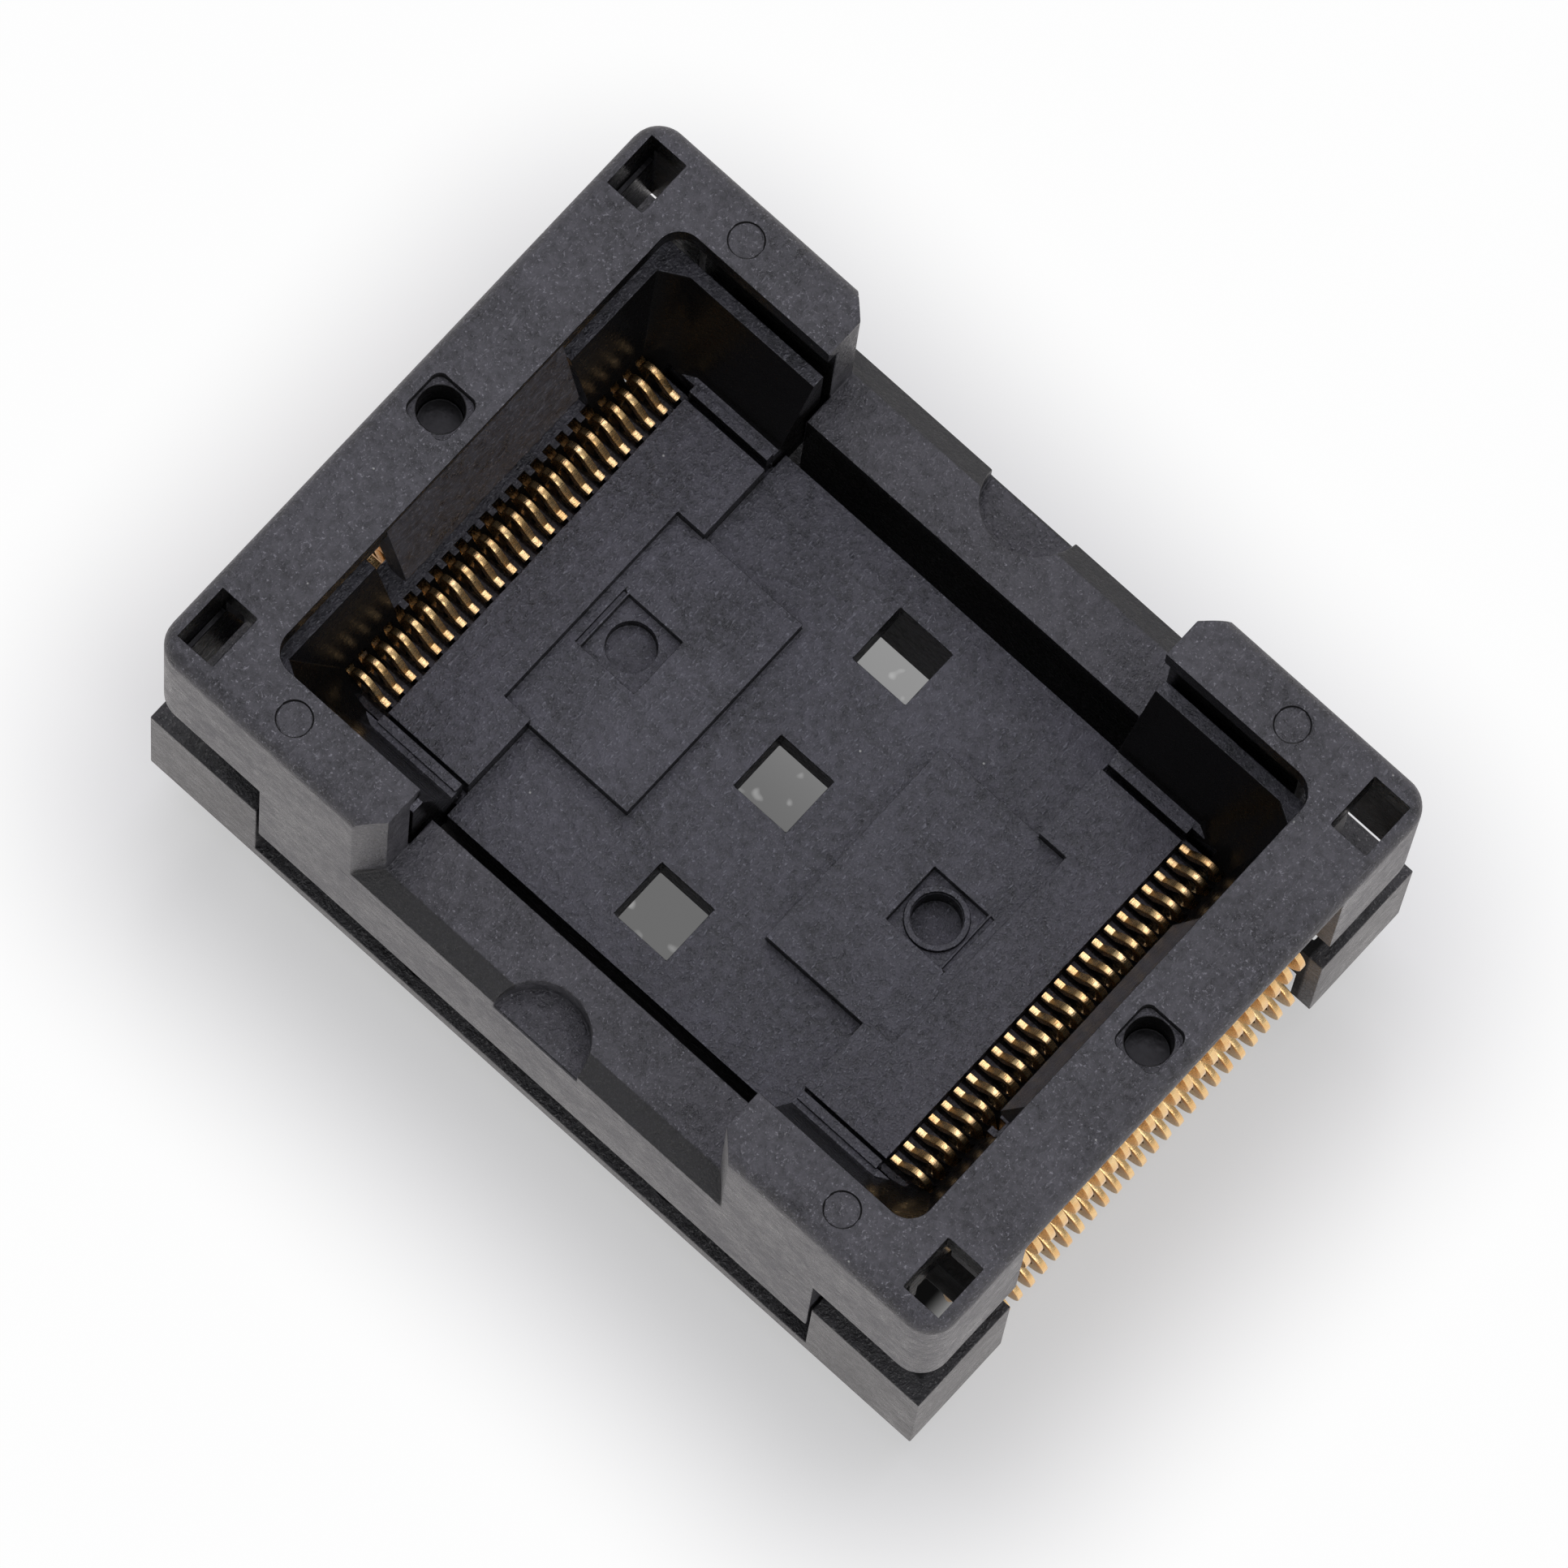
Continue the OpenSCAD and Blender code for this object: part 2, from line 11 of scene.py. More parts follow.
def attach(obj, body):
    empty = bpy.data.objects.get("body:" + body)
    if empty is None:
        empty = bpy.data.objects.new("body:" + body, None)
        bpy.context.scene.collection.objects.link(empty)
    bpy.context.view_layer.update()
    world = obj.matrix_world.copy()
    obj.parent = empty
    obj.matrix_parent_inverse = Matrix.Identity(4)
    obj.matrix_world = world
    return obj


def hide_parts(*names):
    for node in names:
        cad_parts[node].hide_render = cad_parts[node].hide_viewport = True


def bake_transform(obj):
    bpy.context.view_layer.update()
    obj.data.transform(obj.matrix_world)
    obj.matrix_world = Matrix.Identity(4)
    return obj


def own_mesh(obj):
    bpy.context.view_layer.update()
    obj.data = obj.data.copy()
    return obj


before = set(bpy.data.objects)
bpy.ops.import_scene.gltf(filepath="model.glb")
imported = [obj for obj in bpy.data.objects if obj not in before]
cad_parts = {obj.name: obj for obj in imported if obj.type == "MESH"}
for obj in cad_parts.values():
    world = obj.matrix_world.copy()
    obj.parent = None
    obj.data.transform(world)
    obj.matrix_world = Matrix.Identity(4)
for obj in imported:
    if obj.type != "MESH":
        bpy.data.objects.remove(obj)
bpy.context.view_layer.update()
mm = 0.001
boardHeight = 3.0  # tails below the board, so the board's top is this far above the origin
smoothAngle = 50  # edges of the thin metal pieces stay sharp above this


def newMaterial(name):
    material = bpy.data.materials.new(name)
    material.use_nodes = True
    tree = material.node_tree
    tree.nodes.clear()
    return material, tree


def addNode(tree, kind, inputs=None, **settings):
    node = tree.nodes.new(kind)
    for key, value in settings.items():
        setattr(node, key, value)
    for key, value in (inputs or {}).items():
        socket = node.inputs[key]
        if isinstance(value, bpy.types.NodeSocket):
            tree.links.new(value, socket)
        else:
            socket.default_value = value
    return node


def coordsInMm(tree, scale=(1, 1, 1), turn=(0, 0, 0)):
    # Object coordinates in millimetres, stretched or turned for a pattern
    coords = addNode(tree, "ShaderNodeTexCoord").outputs["Object"]
    size = tuple(s / mm for s in scale)
    inputs = {"Vector": coords, "Scale": size, "Rotation": turn}
    return addNode(tree, "ShaderNodeMapping", inputs).outputs[0]


def splitCoords(tree, vector):
    return addNode(tree, "ShaderNodeSeparateXYZ", {0: vector}).outputs


def noise(tree, vector, scale, detail, rough):
    inputs = {"Vector": vector, "Scale": scale, "Detail": detail, "Roughness": rough}
    return addNode(tree, "ShaderNodeTexNoise", inputs).outputs["Fac"]


def remap(tree, value, low, high, toLow=0.0, toHigh=1.0, kind="LINEAR"):
    inputs = {"Value": value, "From Min": low, "From Max": high, "To Min": toLow, "To Max": toHigh}
    return addNode(tree, "ShaderNodeMapRange", inputs, interpolation_type=kind).outputs[0]


def combine(tree, kind, a, b=0.0):
    return addNode(tree, "ShaderNodeMath", {0: a, 1: b}, operation=kind).outputs[0]


def plus(tree, a, b):
    return combine(tree, "ADD", a, b)


def minus(tree, a, b):
    return combine(tree, "SUBTRACT", a, b)


def times(tree, a, b):
    return combine(tree, "MULTIPLY", a, b)


def larger(tree, a, b):
    return combine(tree, "MAXIMUM", a, b)


def mixColor(tree, factor, a, b):
    return addNode(tree, "ShaderNodeMix", {0: factor, 6: a, 7: b}, data_type="RGBA").outputs[2]


def bumped(tree, height, depth, under=None):
    # The normal that a height pattern gives, on top of another normal where there is one
    inputs = {"Height": height, "Distance": depth * mm, "Strength": 1.0}
    if under is not None:
        inputs["Normal"] = under
    return addNode(tree, "ShaderNodeBump", inputs).outputs[0]


def addSurface(tree, inputs):
    # Plain values land on the shader's own sockets, patterns are linked to them
    shader = addNode(tree, "ShaderNodeBsdfPrincipled", inputs)
    addNode(tree, "ShaderNodeOutputMaterial", {"Surface": shader.outputs[0]})


# Finishes of the three mouldings, with painted glints in the pale flecks. Fibres: turn of the flow,
# then scale across and along it.
coverLook = {
    "tone": (0.009, 0.0085, 0.011, 1),
    "paleTone": (0.086, 0.083, 0.094, 1),
    "fibreAndGlintTone": (0.46, 0.45, 0.49, 1),
    "fibres": (0.5, 12.0, 4.0),
    "fibreShare": 0.16,
    "glintShare": 0.4,
    "roughness": (0.26, 0.54),
    "gloss": 0.6,
    "pocketShades": None,
    "seamHeight": 10.3,
    # Painted shade on the slanted band of the low sides
    "band": {"from": 9.245, "height": 11.3, "half": 6.7, "drop": 0.5},
}
guideLook = {
    "tone": (0.0085, 0.009, 0.012, 1),
    "paleTone": (0.088, 0.086, 0.104, 1),
    "fibreAndGlintTone": (0.44, 0.44, 0.49, 1),
    "fibres": (0.0, 14.0, 4.5),
    "fibreShare": 0.3,
    "glintShare": 0.34,
    "roughness": (0.27, 0.48),
    "gloss": 0.64,
    "pocketShades": None,
    "seamHeight": None,
    "band": None,
}
baseLook = {
    "tone": (0.012, 0.0115, 0.0125, 1),
    "paleTone": (0.056, 0.053, 0.056, 1),
    "fibreAndGlintTone": (0.4, 0.39, 0.38, 1),
    "fibres": (0.9, 11.0, 4.0),
    "fibreShare": 0.14,
    "glintShare": 0.4,
    "roughness": (0.27, 0.47),
    "gloss": 0.54,
    # Painted shade in the base's pockets
    "pocketShades": {"x": (11.0, 13.5), "y": (6.0, 9.4)},  # below the cover's corner holes
    "seamHeight": None,
    "band": None,
}

# What the three share. A pattern is its scale per millimetre, its detail and its roughness.
grain = {
    "cloud": (0.4, 4, 0.6),
    "mottle": (3.4, 5, 0.7),
    "grit": (13.0, 2, 0.6),
    "fibre": (1.0, 2, 0.5),
    "flowTilt": (0.05, 0.08),
    "crossTilt": (0.1, -0.06),
    "crossTurn": 0.35,
    "crossStretch": 1.3,
    "cloudRange": (0.34, 0.66),
    "mottleRange": (0.38, 0.62),
    "glintRange": (0.6, 0.72),
    "flowRange": (0.6, 0.72),
    "crossRange": (0.63, 0.74),
    "toneShares": (0.4, 0.6),  # of cloud and mottle
    "roughShares": (0.38, 0.62),  # of cloud and mottle
    "roughRange": (0.38, 0.62),
    "lifts": (1.9, 0.8, 0.35),  # of mottle, grit and fibres in the bump
    "bumpDepth": 0.042,
    "waveDepth": 0.02,
    "ior": 1.52,
}
# Painted shade: the near black tone laid over the slanted band of the cover's low sides
band = {
    "tone": (0.008, 0.0078, 0.0075, 1),
    "share": 0.85,
    "edge": (-0.01, 0.03),
    "fade": 0.05,
    "lowFade": 0.06,
}
# Painted shade in the base's pockets below the cover's corner holes: near black and rougher
pocketShade = {"tone": (0.003, 0.003, 0.003, 1), "addedRough": 0.5, "fadeIn": 0.2, "fadeOut": 0.1}
seam = {"wall": (9.86, 9.9), "width": (0.035, 0.015), "depth": 2.5}
dust = {"tone": (0.45, 0.45, 0.42, 1), "cells": 1.1, "speck": (0.045, 0.02), "chosen": (0.5, 0.7)}


def dustSpecks(tree, plain):
    # A small speck in the middle of some of the cells
    inputs = {"Vector": plain, "Scale": dust["cells"], "Randomness": 1.0}
    cells = addNode(tree, "ShaderNodeTexVoronoi", inputs).outputs
    pick = addNode(tree, "ShaderNodeSeparateColor", {0: cells["Color"]}).outputs[0]
    near = remap(tree, cells["Distance"], *dust["speck"])
    return times(tree, near, remap(tree, pick, *dust["chosen"]))


def bandShadeMask(tree, plain, spec):
    # Painted shade on the slanted band: 1 outside the crease of the low sides: beyond its distance
    # from the middle, from its height down to the band's foot, and within its half length
    x, y, z = splitCoords(tree, plain)
    inner, outer = band["edge"]
    foot = spec["height"] - spec["drop"]
    beyond = remap(tree, combine(tree, "ABSOLUTE", y), spec["from"] + inner, spec["from"] + outer)
    lower = remap(tree, z, spec["height"], spec["height"] - outer)
    within = remap(tree, combine(tree, "ABSOLUTE", x), spec["half"], spec["half"] - band["fade"])
    above = remap(tree, z, foot - band["lowFade"], foot)
    return times(tree, times(tree, beyond, lower), times(tree, within, above))


def pocketShadeMask(tree, plain, spec):
    # Painted shade: 1 where the distances from both middle planes lie in their ranges, with soft
    # borders
    shares = []
    for socket, (low, high) in zip(splitCoords(tree, plain), (spec["x"], spec["y"])):
        off = combine(tree, "ABSOLUTE", socket)
        entering = remap(tree, off, low, low + pocketShade["fadeIn"])
        shares.append(times(tree, entering, remap(tree, off, high, high - pocketShade["fadeOut"])))
    return times(tree, *shares)


def seamMask(tree, plain, height):
    # 1 in a fine line at one height along the two long outer sides
    _, y, z = splitCoords(tree, plain)
    off = combine(tree, "ABSOLUTE", minus(tree, z, height))
    outer = remap(tree, combine(tree, "ABSOLUTE", y), *seam["wall"])
    return times(tree, remap(tree, off, *seam["width"]), outer)


def filledPlastic(name, look):
    # Glass-filled black plastic: cloudy and mottled, with fine pale flecks, painted glints of the
    # rough surface, and short fibres along the flow
    material, tree = newMaterial(name)
    plain = coordsInMm(tree)
    turn, across, along = look["fibres"]
    crossAlong = along * grain["crossStretch"]
    crossTurn = turn + grain["crossTurn"]
    flow = coordsInMm(tree, (across, along, across), (*grain["flowTilt"], turn))
    cross = coordsInMm(tree, (across, crossAlong, across), (*grain["crossTilt"], crossTurn))
    cloud = noise(tree, plain, *grain["cloud"])
    mottle = noise(tree, plain, *grain["mottle"])
    grit = noise(tree, plain, *grain["grit"])
    fibres = larger(
        tree,
        remap(tree, noise(tree, flow, *grain["fibre"]), *grain["flowRange"]),
        remap(tree, noise(tree, cross, *grain["fibre"]), *grain["crossRange"]),
    )
    # Painted glints: pale flecks in the colour
    glintFlecks = remap(tree, grit, *grain["glintRange"])

    cloudShare, mottleShare = grain["toneShares"]
    body = plus(
        tree,
        times(tree, remap(tree, cloud, *grain["cloudRange"]), cloudShare),
        times(tree, remap(tree, mottle, *grain["mottleRange"]), mottleShare),
    )
    fibrePart = times(tree, fibres, look["fibreShare"])
    glintPart = times(tree, glintFlecks, look["glintShare"])
    tone = mixColor(tree, body, look["tone"], look["paleTone"])
    tone = mixColor(tree, larger(tree, fibrePart, glintPart), tone, look["fibreAndGlintTone"])
    tone = mixColor(tree, dustSpecks(tree, plain), tone, dust["tone"])
    cloudShare, mottleShare = grain["roughShares"]
    patches = plus(tree, times(tree, mottle, mottleShare), times(tree, cloud, cloudShare))
    rough = remap(tree, patches, *grain["roughRange"], *look["roughness"])
    mottleLift, gritLift, fibreLift = grain["lifts"]
    height = plus(tree, times(tree, mottle, mottleLift), times(tree, grit, gritLift))
    height = plus(tree, height, times(tree, fibres, fibreLift))

    # Painted shade darkens the slanted band of the low sides
    if look["band"]:
        paintedBandShade = times(tree, bandShadeMask(tree, plain, look["band"]), band["share"])
        tone = mixColor(tree, paintedBandShade, tone, band["tone"])
    # Painted shade in the base's pockets below the cover's corner holes
    if look["pocketShades"]:
        pocketShadeShare = pocketShadeMask(tree, plain, look["pocketShades"])
        tone = mixColor(tree, pocketShadeShare, tone, pocketShade["tone"])
        rough = plus(tree, rough, times(tree, pocketShadeShare, pocketShade["addedRough"]))
    if look["seamHeight"]:
        groove = times(tree, seamMask(tree, plain, look["seamHeight"]), seam["depth"])
        height = minus(tree, height, groove)
    wave = bumped(tree, cloud, grain["waveDepth"])
    addSurface(tree, {
        "Base Color": tone,
        "Roughness": rough,
        "Normal": bumped(tree, height, grain["bumpDepth"], wave),
        "Specular IOR Level": look["gloss"],
        "IOR": grain["ior"],
    })
    return material


# Painted shade: a darker tone and a low gloss for steep inner faces and for the recesses
polishedShadeLook = {
    "tone": (0.0055, 0.0052, 0.005, 1),
    "cloud": (0.9, 4, 0.6),
    "smear": (5.0, 4, 0.65),
    "smearRange": (0.35, 0.65),
    "roughness": (0.22, 0.34),
    "waveDepth": 0.03,
    "gloss": 0.16,
}


def polishedShadePlastic(name, look):
    # Faces that the polished core of the mould formed, darker and less glossy than the moulding as
    # painted shade, and painted shade in the cover's recesses: near black, faintly wavy, a little
    # dust
    material, tree = newMaterial(name)
    plain = coordsInMm(tree)
    smear = noise(tree, plain, *look["smear"])
    addSurface(tree, {
        "Base Color": mixColor(tree, dustSpecks(tree, plain), look["tone"], dust["tone"]),
        "Roughness": remap(tree, smear, *look["smearRange"], *look["roughness"]),
        "Normal": bumped(tree, noise(tree, plain, *look["cloud"]), look["waveDepth"]),
        "Specular IOR Level": look["gloss"],
        "IOR": grain["ior"],
    })
    return material


goldLook = {
    "tone": (0.98, 0.72, 0.37, 1),
    "deepTone": (0.8, 0.46, 0.17, 1),
    "cloud": (1.7, 4, 0.6),
    "cloudRange": (0.3, 0.75),
    "shearStretch": (30, 1.5, 30),
    "shear": (1.0, 2, 0.5),
    "fine": (26, 2, 0.6),
    "roughRange": (0.4, 0.75),
    "roughness": (0.2, 0.38),
    "shearDepth": 0.006,
}


def goldPlate(name, look):
    # Thin gold over a stamped strip: warmer where the plate is thin, with fine shear marks
    # across the thickness
    material, tree = newMaterial(name)
    plain = coordsInMm(tree)
    cloud = remap(tree, noise(tree, plain, *look["cloud"]), *look["cloudRange"])
    shear = noise(tree, coordsInMm(tree, look["shearStretch"]), *look["shear"])
    fine = noise(tree, plain, *look["fine"])
    worn = larger(tree, shear, fine)
    addSurface(tree, {
        "Base Color": mixColor(tree, cloud, look["tone"], look["deepTone"]),
        "Roughness": remap(tree, worn, *look["roughRange"], *look["roughness"]),
        "Normal": bumped(tree, plus(tree, shear, fine), look["shearDepth"]),
        "Metallic": 1.0,
    })
    return material


steelLook = {
    "tone": (0.56, 0.56, 0.57, 1),
    "darkTone": (0.3, 0.3, 0.31, 1),
    "cloud": (2.2, 4, 0.6),
    "cloudRange": (0.35, 0.75),
    "drawStretch": (4, 4, 34),
    "draw": (1.0, 3, 0.6),
    "drawRange": (0.3, 0.7),
    "roughness": (0.22, 0.4),
}


def drawnWire(name, look):
    # Spring wire with faint draw marks
    material, tree = newMaterial(name)
    cloud = noise(tree, coordsInMm(tree), *look["cloud"])
    marks = noise(tree, coordsInMm(tree, look["drawStretch"]), *look["draw"])
    addSurface(tree, {
        "Base Color": mixColor(
            tree, remap(tree, cloud, *look["cloudRange"]), look["tone"], look["darkTone"]
        ),
        "Roughness": remap(tree, marks, *look["drawRange"], *look["roughness"]),
        "Metallic": 1.0,
    })
    return material


coverPlastic = filledPlastic("coverPlastic", coverLook)
basePlastic = filledPlastic("basePlastic", baseLook)
guidePlastic = filledPlastic("guidePlastic", guideLook)
darkShadePlastic = polishedShadePlastic("darkShadePlastic", polishedShadeLook)
contactGold = goldPlate("contactGold", goldLook)
springSteel = drawnWire("springSteel", steelLook)
print("stage: finishes")


def meshFrom(name, points, faces):
    mesh = bpy.data.meshes.new(name)
    mesh.from_pydata(np.asarray(points, float).tolist(), [], faces)
    mesh.validate()
    return mesh


def place(name, mesh, material):
    piece = bpy.data.objects.new(name, mesh)
    bpy.context.scene.collection.objects.link(piece)
    mesh.materials.clear()
    mesh.materials.append(material)
    return piece


def tubeFaces(stations, around, first=0):
    # Quads of a tube of rings, closed by one face at each end
    i, j = np.meshgrid(np.arange(stations - 1), np.arange(around), indexing="ij")
    k = (j + 1) % around
    ring, ahead = i * around, (i + 1) * around
    quads = np.stack([ring + j, ring + k, ahead + k, ahead + j], -1).reshape(-1, 4) + first
    low = (np.arange(around)[::-1] + first).tolist()
    high = (np.arange(around) + (stations - 1) * around + first).tolist()
    return quads.tolist() + [low, high]


# Recesses of the cover, the same in all four quarters: place and half size in plan. Their faces
# get painted shade, the near black second material, where they lean further than the slope, the
# height of the normal, or lie below the height, and only above the lowest height.
eyes = {
    "place": (12.6, 0.0),
    "half": (0.74, 0.74),
    "slope": 0.95,
    "below": 16.3,
    "lowest": 14.6,
}
cornerHoles = {
    "place": (12.88, 8.4),
    "half": (0.63, 0.89),
    "slope": 0.5,
    "below": 16.0,
    "lowest": 0.0,
}
ejectorMarks = {
    "place": (9.72, 8.85),
    "half": (0.51, 0.51),
    "slope": 0.95,
    "below": 0.0,
    "lowest": 16.0,
}

# Steep faces are polished, and darker as painted shade, where they lie inside the given half
# length and half width, on the cover only where they face inward
mouldings = {
    "cover": {
        "material": coverPlastic,
        "slot": "moulding",
        "body": "cover",
        "edge": 0.06,
        "inner": (12.2, 8.45),
        "steep": 0.15,
        "inward": True,
        "shadedPits": [eyes, cornerHoles, ejectorMarks],
    },
    "base": {
        "material": basePlastic,
        "slot": "base_moulding",
        "body": "base",
        "edge": 0.045,
        "inner": (9.9, 6.2),
        "steep": 0.5,
        "inward": False,
        "shadedPits": [],
    },
    "package_guide": {
        "material": guidePlastic,
        "slot": "guide_moulding",
        "body": "base",
        "edge": 0.035,
        "inner": (12, 9),
        "steep": 0.9,
        "inward": False,
        "shadedPits": [],
    },
}
rounding = {
    "merge": 0.0005,  # corners closer than this are one
    "sharpAngle": 32,
    "reach": 2.4,  # edge widths kept free for the full rounding
    "spacing": 0.07,
    "probes": (0.2, 0.5, 0.8),
    "leastShare": 0.1,
    "segments": 2,
    "planeTurn": 100,  # steps of a plane's normal, and of its distance, that tell planes apart
    "planeStep": 0.004,
}


def mergedCopy(nodeName):
    # The CAD node's triangles with their shared corners joined
    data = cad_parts[nodeName].data
    data.calc_loop_triangles()
    coords = np.empty(len(data.vertices) * 3)
    data.vertices.foreach_get("co", coords)
    corners = np.empty(len(data.loop_triangles) * 3, int)
    data.loop_triangles.foreach_get("vertices", corners)
    step = rounding["merge"] * mm
    keys = np.round(coords.reshape(-1, 3) / step).astype(int)
    unique, index = np.unique(keys, axis=0, return_inverse=True)
    faces = index.reshape(-1)[corners].reshape(-1, 3)
    a, b, c = faces.T
    faces = faces[(a != b) & (b != c) & (c != a)]
    return meshFrom(nodeName + "Merged", unique * step, faces.tolist())


def faceArrays(mesh):
    count = len(mesh.polygons)
    normals, centres, areas = np.empty(count * 3), np.empty(count * 3), np.empty(count)
    mesh.polygons.foreach_get("normal", normals)
    mesh.polygons.foreach_get("center", centres)
    mesh.polygons.foreach_get("area", areas)
    return normals.reshape(-1, 3), centres.reshape(-1, 3) / mm, areas / mm**2


def markPolishShade(mesh, spec):
    # The second material, polished and darker as painted shade, goes on faces whose normal's height
    # is below the given one
    normals, centres, _ = faceArrays(mesh)
    polished = np.abs(normals[:, 2]) < spec["steep"]
    polished &= (np.abs(centres[:, :2]) < spec["inner"]).all(1)
    if spec["inward"]:
        polished &= (normals[:, :2] * centres[:, :2]).sum(1) < 0
    mesh.materials.append(darkShadePlastic)
    mesh.polygons.foreach_set("material_index", polished.astype(np.int32))


def markEdges(mesh, width):
    # A sharp edge is rounded by a share of the full width: the distance to the nearest sharp edge
    # that it doesn't touch, over the reach, and 1 at most, then the least share met at its two ends
    bm = bmesh.new()
    bm.from_mesh(mesh)
    limit = math.radians(rounding["sharpAngle"])
    sharp = [e for e in bm.edges if len(e.link_faces) == 2 and e.calc_face_angle() > limit]
    leakSpots, owners = [], []
    for edge in sharp:
        a, b = edge.verts[0].co, edge.verts[1].co
        steps = max(2, int((b - a).length / (rounding["spacing"] * mm)))
        for step in range(steps + 1):
            leakSpots.append(a.lerp(b, step / steps))
            owners.append(edge)
    tree = kdtree.KDTree(len(leakSpots))
    for number, spot in enumerate(leakSpots):
        tree.insert(spot, number)
    tree.balance()
    reach = rounding["reach"] * width * mm
    shares = np.zeros(len(bm.edges))
    for edge in sharp:
        a, b = edge.verts
        room = reach
        for t in rounding["probes"]:
            for _, number, distance in tree.find_range(a.co.lerp(b.co, t), reach):
                if distance < room and {a, b}.isdisjoint(owners[number].verts):
                    room = distance
        shares[edge.index] = max(rounding["leastShare"], room / reach)
    least = np.ones(len(bm.verts))
    for edge in sharp:
        for vert in edge.verts:
            least[vert.index] = min(least[vert.index], shares[edge.index])
    for edge in sharp:
        shares[edge.index] = min(least[vert.index] for vert in edge.verts)
    bm.free()
    weights = mesh.attributes.new("bevel_weight_edge", "FLOAT", "EDGE")
    weights.data.foreach_set("value", shares)


def paintPitShade(mesh, shadedPits):
    # Painted shade: the near black second material also goes on the faces of the recesses
    normals, centres, _ = faceArrays(mesh)
    values = np.empty(len(mesh.polygons), np.int32)
    mesh.polygons.foreach_get("material_index", values)
    across, tilt, height = np.abs(centres[:, :2]), np.abs(normals[:, 2]), centres[:, 2]
    for pit in shadedPits:
        near = (np.abs(across - pit["place"]) < pit["half"]).all(1) & (height > pit["lowest"])
        values[near & ((tilt < pit["slope"]) | (height < pit["below"]))] = 1
    mesh.polygons.foreach_set("material_index", values)


def flatNormals(mesh):
    # A corner's normal is the sum of the normals of the planes that meet there, within the sharp
    # angle of its own face, each times the area of all faces in that plane: large flats stay flat
    normals, centres, areas = faceArrays(mesh)
    offsets = (normals * centres).sum(1) / rounding["planeStep"]
    keys = np.round(np.column_stack([normals * rounding["planeTurn"], offsets])).astype(int)
    planes = np.unique(keys, axis=0, return_inverse=True)[1].reshape(-1)
    planeSums = np.stack([np.bincount(planes, areas * normals[:, k]) for k in range(3)], 1)
    planeNormals = planeSums / np.maximum(np.linalg.norm(planeSums, axis=1), 1e-12)[:, None]
    loops = len(mesh.loops)
    verts, totals = np.empty(loops, int), np.empty(len(mesh.polygons), int)
    mesh.loops.foreach_get("vertex_index", verts)
    mesh.polygons.foreach_get("loop_total", totals)
    owners = np.repeat(np.arange(len(totals)), totals)
    pairs = np.unique(np.column_stack([verts, planes[owners]]), axis=0)
    first = np.searchsorted(pairs[:, 0], verts)
    last = np.searchsorted(pairs[:, 0], verts, side="right")
    total = np.zeros((loops, 3))
    limit = math.cos(math.radians(rounding["sharpAngle"]))
    for step in range(int((last - first).max())):
        there = first + step < last
        plane = pairs[np.minimum(first + step, len(pairs) - 1), 1]
        close = (planeNormals[plane] * normals[owners]).sum(1) > limit
        total += planeSums[plane] * (there & close)[:, None]
    length = np.linalg.norm(total, axis=1)[:, None]
    total = np.where(length > 1e-9, total / np.maximum(length, 1e-9), normals[owners])
    mesh.normals_split_custom_set(total.tolist())


def roundedMoulding(nodeName, spec):
    # A copy of the CAD node with its edges rounded by their shares and its second material set
    mesh = mergedCopy(nodeName)
    piece = place(nodeName + "_moulding", mesh, spec["material"])
    markPolishShade(mesh, spec)
    markEdges(mesh, spec["edge"])
    bevel = piece.modifiers.new("edgeRadius", "BEVEL")
    bevel.width = spec["edge"] * mm
    bevel.segments = rounding["segments"]
    bevel.limit_method = "WEIGHT"
    bevel.use_clamp_overlap = False
    bevel.miter_outer = "MITER_ARC"
    solved = piece.evaluated_get(bpy.context.evaluated_depsgraph_get())
    rounded = bpy.data.meshes.new_from_object(solved)
    piece.modifiers.remove(bevel)
    piece.data = rounded
    # Painted shade on the faces of the recesses
    paintPitShade(rounded, spec["shadedPits"])
    rounded.shade_smooth()
    flatNormals(rounded)
    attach(piece, spec["body"])
    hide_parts(nodeName)


for nodeName, spec in mouldings.items():
    roundedMoulding(nodeName, spec)
print("stage: mouldings")


# A step of a path: length and 0, or radius and turn in degrees, then the strip's width at its
# start and its end
contact = {
    "rowX": 10.0,  # knees of a row from the middle
    "pitch": 0.5,
    "count": 24,
    "sheet": 0.2,
    "edge": 0.02,  # rounding of the sheared edges
    "barZ": 1.09,
    "tailLength": 3.0,
    "tailStep": 2.0,  # between the two lines of tails
    "tailWidth": 0.3,
    "tailPoint": (0.3, 0.12),  # length and width of its tip
    "postX": -0.25,
    "springX": -0.45,
    "knee": (2.55, 6.09),
    "armRise": (0.81, 60),  # from the knee to the tip of the outer arm: length and angle
    "springSlack": 0.008,  # the parts of one strip overlap, so the inner ones are a bit thinner
    "postSlack": 0.004,
    "bendFrom": (10.2, 8.3),  # the outer arm follows the base before this and the cover after
    "bendTo": (11.176, 8.82),
    "spacing": 0.09,
    "endRings": 6,
    "endSpan": (0.12, 0.98),
}
postSteps = [(2.91, 0, 0.6, 0.6), (0.2, 0, 0.6, 0.36)]
springSteps = [
    (3.35, 0, 0.42, 0.42),
    (0.5, 150, 0.42, 0.42),
    (1.32, 0, 0.42, 0.4),
    (0.55, -120, 0.4, 0.4),
    (0.7, 40, 0.4, 0.4),
    (1.2, 0, 0.4, 0.42),
]
headSteps = [
    (0.81, -150, 0.42, 0.42),
    (1.4, 0, 0.42, 0.38),
    (0.7, -83, 0.38, 0.33),
    (1.9, 0, 0.33, 0.32),
    (0.22, 139, 0.32, 0.31),
    (0.68, 0, 0.31, 0.3),
    (0.08, -49, 0.3, 0.3),
    (0.3, 0, 0.3, 0.28),
]


